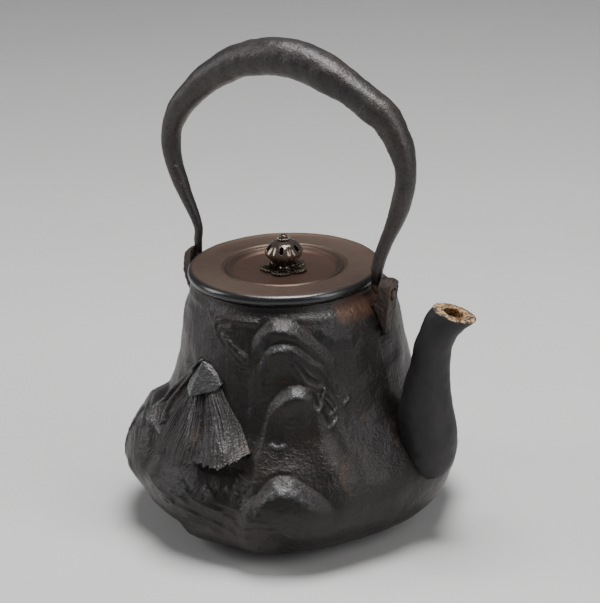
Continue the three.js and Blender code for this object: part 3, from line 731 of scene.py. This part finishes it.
# rows from the ridge to the eave of (angle, height, how far it stands out of the plain wall)
THATCH = [
    [(-109.5, 86.5, -0.5), (-107.5, 87, 1.6), (-105.5, 87.2, 2.4),
     (-103.5, 87.3, 2.4), (-101.5, 87, 1.6), (-99.5, 86, -0.5)],
    [(-115.5, 76, 0), (-112, 76, 3.6), (-107, 76, 5),
     (-101.5, 76.5, 5.2), (-96, 77.3, 4.2), (-91.5, 78.3, -0.3)],
    [(-119.5, 66, 2), (-114.5, 66, 4.8), (-107, 66, 6.6),
     (-98.5, 66.3, 7.2), (-90, 67, 5.6), (-83, 67.8, -0.3)],
    [(-121, 57, 3.4), (-115.5, 56.8, 5.8), (-107, 56.6, 7.6),
     (-97, 56.6, 8.6), (-86, 58, 7.2), (-77.2, 59, 0.4)],
    [(-120.5, 50.5, 4), (-114, 48.6, 6.4), (-106, 48.2, 8),
     (-96, 49, 8.8), (-84, 51.4, 8), (-74.2, 54.5, 1.4)],
]
THATCH_COLUMNS, THATCH_ROWS = 300, 96
BUNDLES = 3
HIGHLIGHTED_CROWNS = [(0.2, 0.4), (0.5, 1.0), (0.8, 0.8)]  # place across the thatch of a bundle's crown, strength of its painted highlight
# corners of the ridge cap, as (angle, height, how far it stands out)
CAP = [(-104.6, 90, 3.4), (-112.6, 79.4, 3.8), (-110.6, 76.6, 6), (-103.6, 75.8, 10.8), (-94, 78.6, 4.6),
       (-92, 81, 2.4), (-98.5, 87.6, 0.5), (-112, 81, -1), (-92, 81.5, -1.5), (-106, 76.4, -1),
       (-103.6, 88.6, -1.5)]
PAINTED_LIT_SIDE = math.radians(-140)  # the cap carries a painted highlight on the facets that face this way


def on_wall(angle, z, proud):
    """Point in millimetres that stands out of the plain wall."""
    return around(plain_radius(angle, z) + proud, np.radians(angle), z)


def build_thatch():
    """Half cone of straw: fine strands run from the ridge to a ragged, undercut eave."""
    rows = np.array([through(row, THATCH_COLUMNS) for row in THATCH])
    net = np.array([through(rows[:, i], THATCH_ROWS) for i in range(THATCH_COLUMNS)]).transpose(1, 0, 2)
    across = np.linspace(0, 1, THATCH_COLUMNS)[None, :]
    down = np.linspace(0, 1, THATCH_ROWS)[:, None]
    places = np.stack([across * 40 + 0 * down, down * 2.6 + 0 * across], -1)
    strands = 1 - np.abs(waves(places, 1.9, 71, 30))
    fine = waves(places * [2.6, 1.6], 2.0, 72, 30)
    bundles = 2 * np.abs(np.sin(BUNDLES * math.pi * across)) ** 0.8 - 1
    broad = np.stack([across * 7 + 0 * down, down * 0.8 + 0 * across], -1)
    folds = bundles + 0.4 * waves(broad, 1.7, 73, 16)
    edge = smooth(across, 0, 0.05) * (1 - smooth(across, 0.95, 1))
    relief = edge * (0.2 + 0.8 * down) * (0.4 * strands + 0.16 * fine + 1.25 * folds)
    ends = 0.5 * waves(places[-1:] * [0.7, 0], 1.6, 74, 20) + 0.2 * fine[-1:] + 0.9 * bundles
    ragged = smooth(down, 0.8, 1) * edge * ends
    outer = on_wall(net[..., 0], net[..., 1] - ragged, net[..., 2] + relief)
    eave = net[-1].T
    lip = on_wall(eave[0], eave[1] - ragged[-1] + 0.4, np.maximum(eave[2] - 1.6, -1.5))
    outer = np.concatenate([outer, lip[None]])
    back_net = np.concatenate([net, net[-1:] + [0, 4.5, 0]])
    back = on_wall(back_net[..., 0], back_net[..., 1], -2.4)
    rings = np.concatenate([outer, back[:, ::-1]], axis=1)
    count, width, _ = rings.shape
    faces = grid_faces(count, width, True).tolist()
    for row in (0, (count - 1) * width):
        end = row + width - 1
        faces += [[row + i, row + i + 1, end - i - 1, end - i] for i in range(THATCH_COLUMNS - 1)]
    thatch = mesh_piece("hut_thatch", rings, faces, CAST_IRON, "kettle", ["kettle_body"])
    # painted highlight on the crowns of the bundles, weaker towards the eave
    crowns = sum(light * np.exp(-(((across - centre) / 0.09) ** 2)) for centre, light in HIGHLIGHTED_CROWNS)
    bright = smooth(strands + 0.6 * fine, -0.5, 1.2) * edge * crowns * (1 - 0.75 * smooth(down, 0.6, 0.95))
    bright = np.concatenate([bright, 0 * bright[-1:]])
    wear_and_highlight = np.concatenate([bright, 0 * bright], axis=1).ravel()
    set_attribute(thatch.data, "wear_and_highlight", wear_and_highlight)
    set_attribute(thatch.data, "rust", 0 * wear_and_highlight)


def build_cap():
    """Faceted ridge cap on top of the thatch."""
    work = bmesh.new()
    for place in on_wall(*np.array(CAP, float).T):
        work.verts.new(Vector(place) * MM)
    bmesh.ops.convex_hull(work, input=work.verts)
    fine = worn_copy("hut_cap", mesh_from(work, "cap"), 0.3, 1, 0.05, 3.2, 75)
    cap = finish_piece("hut_cap", fine, CAST_IRON, "kettle", ["kettle_body"])
    places, normals = vertex_places(cap.data)
    # worn light all over, with a painted highlight on the facets that face the lit side
    leftward = normals @ [math.cos(PAINTED_LIT_SIDE), math.sin(PAINTED_LIT_SIDE), 0]
    set_attribute(cap.data, "wear_and_highlight", 0.75 + 0.6 * smooth(leftward, 0.4, 0.8) + 0.1 * waves(places, 2.5, 76))
    set_attribute(cap.data, "rust", 0 * places[:, 0])


# ---- spout ------------------------------------------------------------------------------

# centre x and z, half length in X, half width in Y, tilt of the section in degrees
SPOUT = [(75, 29.8, 3, 3, 0), (75.3, 33, 8, 8, 0), (74.9, 38, 11.4, 11.4, 0), (74.6, 44, 13, 13, 0),
         (74.3, 51, 13.8, 13.8, 0), (74, 58, 13.5, 13.6, 0), (73.8, 66, 12.3, 12.5, 0),
         (74.4, 74, 10.8, 11, -4), (75.5, 82, 9.6, 9.7, -8), (77, 91, 8.7, 8.8, -11),
         (79.3, 99, 8.4, 8.2, -17), (82.9, 106.3, 9, 7.8, -20), (88.9, 113.1, 10.4, 7.6, -15)]
CHANNEL = [(75, 34, 5, 5, 0), (74.9, 39, 8.6, 8.6, 0), (74.3, 51, 10.8, 10.8, 0), (73.9, 62, 10, 10.2, 0),
           (74.4, 74, 8, 8.2, -4), (77, 91, 6.1, 6.2, -11), (79.3, 99, 5.9, 5.8, -17),
           (82.9, 106.3, 5.6, 4.8, -20), (88.9, 113.1, 5.4, 3.8, -15)]
SPOUT_SIDES = 72
MOUTH_NORMAL = np.array([math.sin(math.radians(15)), 0, math.cos(math.radians(15))])
MOUTH_LEVEL = MOUTH_NORMAL @ [88.9, 0, 113.1]
SPOUT_AXIS = np.array([87, 0, 110])


def oval_rings(sections, steps, sides):
    """Rings of a tube in the XZ plane through oval sections."""
    x, z, long, wide, tilt = through(sections, steps).T[:, :, None]
    turn = full_turn(sides)
    reach = long * np.cos(turn)
    return np.stack([x + reach * np.cos(np.radians(tilt)), wide * np.sin(turn),
                     z + reach * np.sin(np.radians(tilt))], -1)


def build_spout():
    outside = oval_rings(SPOUT, 130, SPOUT_SIDES)
    middle = outside.mean(1, keepdims=True)
    uneven = 0.22 * waves(outside, 16, 21) + 0.08 * waves(outside, 5, 22)
    out = outside - middle
    outside = outside + out / np.linalg.norm(out, axis=-1, keepdims=True) * uneven[..., None]
    channel = oval_rings(CHANNEL, 60, SPOUT_SIDES)[::-1]
    lip = [outside[-1] * (1 - t) + channel[0] * t for t in (0.12, 0.3, 0.5, 0.7, 0.88)]
    rise = np.array([0.25, 0.45, 0.5, 0.4, 0.2])
    ragged = 0.3 * waves(np.array(lip), 4, 23)
    for ring, lift, rough in zip(lip, rise, ragged):
        ring[:, 2] += lift + rough
    points, faces = capped(np.concatenate([outside, lip, channel]))
    spout = mesh_piece("spout_cast", points, faces, SPOUT_IRON, "kettle", ["spout"])
    cut(spout, [bar_along_x(*SPOUT_PORT)])
    places, normals = vertex_places(spout.data)
    face = smooth(places @ MOUTH_NORMAL, MOUTH_LEVEL - 1.6, MOUTH_LEVEL + 0.4)
    inside = smooth(places[:, 2], 100, 109) * (np.einsum("ij,ij->i", normals, places - SPOUT_AXIS) < 0)
    set_attribute(spout.data, "rust", np.maximum(0.55 * face, inside))


# ---- handle -----------------------------------------------------------------------------

# centre x and z, half thickness in the plane of the handle
BOW = [(-47.5, 127, 1.9), (-47, 133, 2), (-49.6, 140.4, 2.5), (-52.9, 147.3, 3), (-56, 154.8, 3.6),
       (-58.9, 162.8, 3.9), (-60.1, 171.8, 4.4), (-59, 181.4, 4.8), (-54.4, 190.6, 5.6), (-47.1, 198.7, 6.2),
       (-39.3, 205.9, 6.9), (-30.5, 211.8, 7.3), (-21.4, 216.7, 7.8), (-11.8, 219.6, 8.2), (-2.4, 221.3, 8.5),
       (6.7, 221.5, 8.6), (15.1, 220.1, 8.8), (22.6, 217.6, 8.7), (29.5, 214.8, 8.2), (35.9, 211.6, 7.5),
       (42.3, 208.2, 7.1), (48.5, 204.2, 7.4), (55, 199.9, 6.9), (59.5, 193.6, 6.3), (63, 186.5, 5.9),
       (65, 178.4, 4.9), (64.7, 169.8, 4.6), (62.5, 160.9, 4.4), (59.2, 152, 3.8), (55, 142.9, 3.2),
       (51.7, 135, 2.9), (49.5, 128, 2.7)]
BOW_WALL = 1.2
BOW_SIDES = 48
LEG_ENDS = [(-47.42, 120.8, 1.64), (48.82, 120.8, 2.28)]  # the skin of the legs runs down over the hooks


def bow_rings(thinner, steps):
    """Rings of the handle's tube, a slightly squared round section."""
    path = through(BOW, steps)
    path = path if thinner else np.vstack([LEG_ENDS[0], path, LEG_ENDS[1]])
    along = np.gradient(path[:, :2], axis=0)
    along /= np.linalg.norm(along, axis=1, keepdims=True)
    turn = full_turn(BOW_SIDES)
    c, s = np.cos(turn), np.sin(turn)
    squared = (np.abs(c) ** 2.3 + np.abs(s) ** 2.3) ** (-1 / 2.3)
    radius = (path[:, 2] - thinner)[:, None] * squared
    out = radius * c
    x = path[:, :1] - along[:, 1:] * out
    z = path[:, 1:2] + along[:, :1] * out
    return np.stack([x, radius * s, z], -1)


def build_bow():
    outside = bow_rings(0, 330)
    middle = outside.mean(1, keepdims=True)
    out = outside - middle
    forged = 0.022 * waves(outside, 22, 31) + 0.014 * waves(outside, 7, 32) + 0.007 * waves(outside, 2.4, 33)
    outside = middle + out * (1 + forged[..., None] - 0.012)
    inside = bow_rings(BOW_WALL, 120)[::-1]
    rings = np.concatenate([outside, inside, outside[:1]])
    rows, columns, _ = rings.shape
    faces = grid_faces(rows, columns, True)
    faces = np.where(faces >= (rows - 1) * columns, faces - (rows - 1) * columns, faces)
    mesh_piece("bow_forged", rings[:-1], faces, FORGED_IRON, "handle", ["handle_bow"])


def refined(name, node, material, body, voxel=0.28, rough=0.12, length=3.0, seed=1):
    """Fine weathered copy of a plain CAD node, which it stands for."""
    mesh = worn_copy(name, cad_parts[node].data.copy(), voxel, 6, rough, length, seed)
    return finish_piece(name, mesh, material, body, [node])


# ---- lid and knob -----------------------------------------------------------------------

LID_RADIUS, LID_SEAT, ROLL = 45, 117.5, 2.6
UNDERSIDE = 117.6
WELL_FLOOR = 119.8
PIN_BORE = 1.5
LOBES = 6


def build_lid():
    arc = [(LID_RADIUS - ROLL + ROLL * math.cos(t), LID_SEAT + ROLL - 0.1 + ROLL * math.sin(t))
           for t in np.radians(np.linspace(-50, 104, 26))]
    skirt = [(PIN_BORE, UNDERSIDE), (20, UNDERSIDE), (34.8, UNDERSIDE), (35, UNDERSIDE - 0.3), (35, 111.4),
             (35.2, 111.2), (36.1, 111.2), (36.4, 111.5), (36.6, 117), (36.8, 117.5), (42.2, 117.5),
             (43.3, 117.55), (43.6, 117.8), (43.5, 118.05)]
    moulding = [(41, 122.25), (39.5, 122.0), (36, 121.85), (32.5, 121.85), (30.4, 122.0), (29.6, 122.05),
                (29.1, 121.85), (28.8, 121.3), (28.4, 121.0), (28.0, 121.1), (27.7, 121.5), (27.2, 121.95),
                (26.6, 122.05), (26, 121.85), (25.6, 121.5), (25.2, 121.0), (24.6, 120.35)]
    well = [(23.9, 119.95), (23, WELL_FLOOR), (16, WELL_FLOOR), (8, WELL_FLOOR), (PIN_BORE, WELL_FLOOR)]
    outline = skirt + arc + moulding + well
    points, faces = revolved(outline, 288)
    points = points.reshape(-1, 3)
    top = smooth(points[:, 2], 119.2, 121)
    points[:, 2] += 0.05 * top * waves(points, 15, 41)
    mesh_piece("lid_turned", points, faces, LID_BRONZE, "lid", ["lid_plate"])


BUD = [(2.7, 122.2), (4.8, 123.2), (7.3, 125.6), (8.9, 128.3), (7.9, 130.7), (5.9, 132.8), (2.9, 134.1)]
BUD_MIDDLE, BUD_HALF_HEIGHT, BUD_WALL = 128.4, 5.8, 1.1
BUD_TURN = math.radians(-7)
BUD_SIDES = 120


def bud_rings(wall, steps):
    """Rings of the six-lobed bud, shrunk by a wall: lobes swell at the waist and meet in creases."""
    r, z = through(BUD, steps).T[:, :, None]
    turn = full_turn(BUD_SIDES) - BUD_TURN
    crease = 1 - np.abs(np.cos(LOBES * turn / 2)) ** 0.5
    waist = smooth(z, 122.5, 126.5) * (1 - smooth(z, 130.5, 134.5))
    lobe = 1 + waist * (0.02 - 0.075 * crease)
    radius = np.maximum(0.6, r - wall) * lobe
    height = BUD_MIDDLE + (z - BUD_MIDDLE) * (1 - wall / BUD_HALF_HEIGHT)
    return around(radius, turn + BUD_TURN, height)


def plain_rings(outline):
    """Round rings of the bud's number of sides through (radius, height) pairs."""
    turn = full_turn(BUD_SIDES)
    return np.array([around(r, turn, z) for r, z in outline])


def build_knob():
    base = plain_rings([(PIN_BORE, 120.1), (3.0, 120.1), (3.1, 120.5), (2.5, 121), (2.3, 121.6),
                        (2.5, 122.1)])
    outer = bud_rings(0, 60)
    inner = bud_rings(BUD_WALL, 30)[::-1]
    neck = plain_rings([(PIN_BORE, 123.4)])
    rings = np.concatenate([base, outer, inner, neck])
    rows, columns, _ = rings.shape
    faces = grid_faces(rows + 1, columns, True) % (rows * columns)
    bud = mesh_piece("bud_pierced", rings, faces, KNOB_BRONZE, "lid", ["knob_bud"])
    cut(bud, [almond(i) for i in range(LOBES)])


def almond(i):
    """Tool that pierces one lobe of the bud."""
    work = bmesh.new()
    bmesh.ops.create_uvsphere(work, u_segments=20, v_segments=14, radius=MM)
    bmesh.ops.scale(work, vec=(3, 1.1, 2), verts=work.verts)
    spin(work, math.radians(-35), "Y")
    bmesh.ops.translate(work, vec=(7.2 * MM, 0, 131 * MM), verts=work.verts)
    spin(work, BUD_TURN + 2 * math.pi * i / LOBES)
    return tool_from(work, "almond")


PIN_SHANK, PIN_HEAD, PIN_END = 1.2, 134.5, 115.4
BEADS, BEAD_RING, BEAD_SIZE = 16, 2.65, 0.42


def build_pin():
    """Rivet through the bud: a small collar with a ring of beads and a lump on top."""
    foot = [(0.02, 0), (2.0, 0), (2.3, 0.4), (2.2, 0.8), (PIN_SHANK, 0.9)]
    head = [(PIN_SHANK, 0), (2.6, 0), (2.75, 0.3), (2.4, 0.65), (1.7, 0.75), (1.5, 0.9), (1.9, 1.3),
            (1.9, 1.7), (1.3, 2.15), (0.02, 2.3)]
    outline = [(r, PIN_END + h) for r, h in foot] + [(PIN_SHANK, 125)] + [(r, PIN_HEAD + h) for r, h in head]
    points, faces = revolved(outline, 72)
    mesh_piece("pin_beaded", points, faces, KNOB_BRONZE, "lid", ["knob_pin"])
    work = bmesh.new()
    for i in range(BEADS):
        turn = 2 * math.pi * i / BEADS
        place = Vector((BEAD_RING * math.cos(turn), BEAD_RING * math.sin(turn), PIN_HEAD + 0.35)) * MM
        bmesh.ops.create_icosphere(work, subdivisions=3, radius=BEAD_SIZE * MM,
                                   matrix=Matrix.Translation(place))
    finish_piece("pin_beads", mesh_from(work, "beads"), BEAD_BRONZE, "lid", [])


SEAT_LOW, SEAT_HIGH = 120.1, 121.4
SEAT_BORE = 3.15
LEAVES = 5
# holes of each leaf: distance from the axis, size, turn from the leaf's middle
LEAF_HOLES = [(6.1, 1.3, 0.24), (6.1, 1.3, -0.24), (8.4, 0.95, 0.13), (8.6, 0.7, -0.13)]


def build_leaves():
    """Openwork rosette: five veined leaves with curled edges, pierced near the stem."""
    columns, rows = 360, 44
    turn = full_turn(columns)[None, :]
    t = np.linspace(0, 1, rows)[:, None]
    swirl = 0.5 * t
    leaf = np.abs(np.cos(LEAVES * turn / 2))
    teeth = 0.5 * np.abs(np.sin(LEAVES * 3.5 * turn))
    reach = 8.0 + 2.9 * leaf**0.8 + teeth * leaf
    radius = SEAT_BORE + (reach - SEAT_BORE) * t
    angle = turn + swirl - 0.5
    vein = np.exp(-((1 - leaf) / 0.02) ** 2)
    ribs = 0.14 * np.cos(LEAVES * 7 * turn + 9 * t)
    gutter = 0.3 * np.abs(np.sin(LEAVES * turn / 2)) ** 6
    top = SEAT_HIGH - 0.42 + ribs + 0.26 * vein + 0.22 * smooth(t, 0.75, 1)
    top = top - gutter - 0.25 * smooth(t, 0.96, 1)
    low = SEAT_LOW + 0.02 + 0 * top
    upper = around(radius, angle, np.minimum(top, SEAT_HIGH))
    under = around(radius, angle, low)[::-1]
    rings = np.concatenate([upper, under])
    faces = grid_faces(2 * rows + 1, columns, True) % (2 * rows * columns)
    seat = mesh_piece("leaf_rosette", rings, faces, LEAF_BRONZE, "lid", ["flower_seat"])
    tools = []
    for i in range(LEAVES):
        for reach, size, side in LEAF_HOLES:
            tools.append(piercing(2 * math.pi * i / LEAVES + side - 0.2, reach, size))
    cut(seat, tools)


def piercing(turn, reach, size):
    """Upright oval tool for the holes between the leaves' veins."""
    work = bmesh.new()
    bmesh.ops.create_cone(work, cap_ends=True, segments=20, radius1=MM, radius2=MM, depth=4 * MM)
    bmesh.ops.scale(work, vec=(size * 1.35, size * 0.6, 1), verts=work.verts)
    spin(work, 0.5)
    bmesh.ops.translate(work, vec=(reach * MM, 0, 120.7 * MM), verts=work.verts)
    spin(work, turn)
    return tool_from(work, "piercing")


build_shell()
build_thatch()
build_cap()
build_spout()
build_bow()
refined("hook_front", "handle_hook_front", FORGED_IRON, "handle", rough=0.08, seed=51)
refined("hook_rear", "handle_hook_rear", FORGED_IRON, "handle", voxel=0.2, rough=0.06, seed=53)
refined("ear_front", "lug_front", LUG_IRON, "kettle", seed=55)
refined("ear_rear", "lug_rear", LUG_IRON, "kettle", seed=57)
build_lid()
build_knob()
build_pin()
build_leaves()
refined("washer_turned", "pin_washer", LID_BRONZE, "lid", voxel=0.15, rough=0.02, seed=59)

# ---- studio -----------------------------------------------------------------------------


AZIMUTH, ELEVATION, TILT = math.radians(32), math.radians(20), math.radians(-1.8)
DISTANCE = 1.2
LID_CENTRE = Vector((0, 0, 0.12))
AIM = Vector((0.0085, -0.0011, 0.1054))
LIT_PLACE = Vector((0, 0, 0.1))
FLOOR_REACH = 3.0


def add_camera():
    """Camera at the reference view: 32 degrees to the spout's side, about 20 degrees down."""
    out = Vector((math.sin(AZIMUTH) * math.cos(ELEVATION), -math.cos(AZIMUTH) * math.cos(ELEVATION),
                  math.sin(ELEVATION)))
    camera = linked("camera", bpy.data.cameras.new("camera"))
    camera.location = LID_CENTRE + DISTANCE * out
    look = (AIM - camera.location).to_track_quat("-Z", "Y")
    camera.rotation_euler = (look.to_matrix() @ Matrix.Rotation(TILT, 3, "Z")).to_euler()
    camera.data.lens = 154.5
    camera.data.sensor_width = 36
    camera.data.clip_start = 0.05
    bpy.context.scene.camera = camera


def add_light(name, place, width, height, power):
    """Soft oval light that faces the kettle."""
    light = bpy.data.lights.new(name, "AREA")
    light.shape = "ELLIPSE"
    light.size = width
    light.size_y = height
    light.energy = power
    lamp = linked(name, light)
    lamp.location = Vector(place)
    lamp.rotation_euler = (LIT_PLACE - Vector(place)).to_track_quat("-Z", "Y").to_euler()


def add_floor():
    """Plain pale ground."""
    m = Nodes("floor", 0.0)
    colour = m.mix(m.noise(3, 3), (0.52, 0.51, 0.5), (0.56, 0.55, 0.54))
    roughness = m.ramp(m.noise(20, 2), 0.3, 0.7, 0.6, 0.7)
    material = m.done(colour, roughness, m.bump(m.noise(400, 2), 0.0001, 0.2))
    mesh = bpy.data.meshes.new("floor")
    corners = [(x * FLOOR_REACH, y * FLOOR_REACH, 0) for x, y in ((-1, -1), (1, -1), (1, 1), (-1, 1))]
    mesh.from_pydata(corners, [], [(0, 1, 2, 3)])
    mesh.materials.append(material)
    floor = linked("floor", mesh)


def add_world():
    """Faint cool light from all round."""
    world = bpy.data.worlds.new("studio")
    world.use_nodes = True
    background = world.node_tree.nodes["Background"]
    background.inputs["Color"].default_value = (0.8, 0.85, 0.9, 1)
    background.inputs["Strength"].default_value = 0.16
    bpy.context.scene.world = world


add_camera()
add_floor()
add_world()
add_light("top", (0.05, 0.02, 1.1), 0.6, 0.6, 20)
add_light("left", (-1.0, -0.5, 0.55), 0.4, 0.9, 6)
add_light("right", (0.95, -0.1, 0.6), 0.4, 0.9, 5)
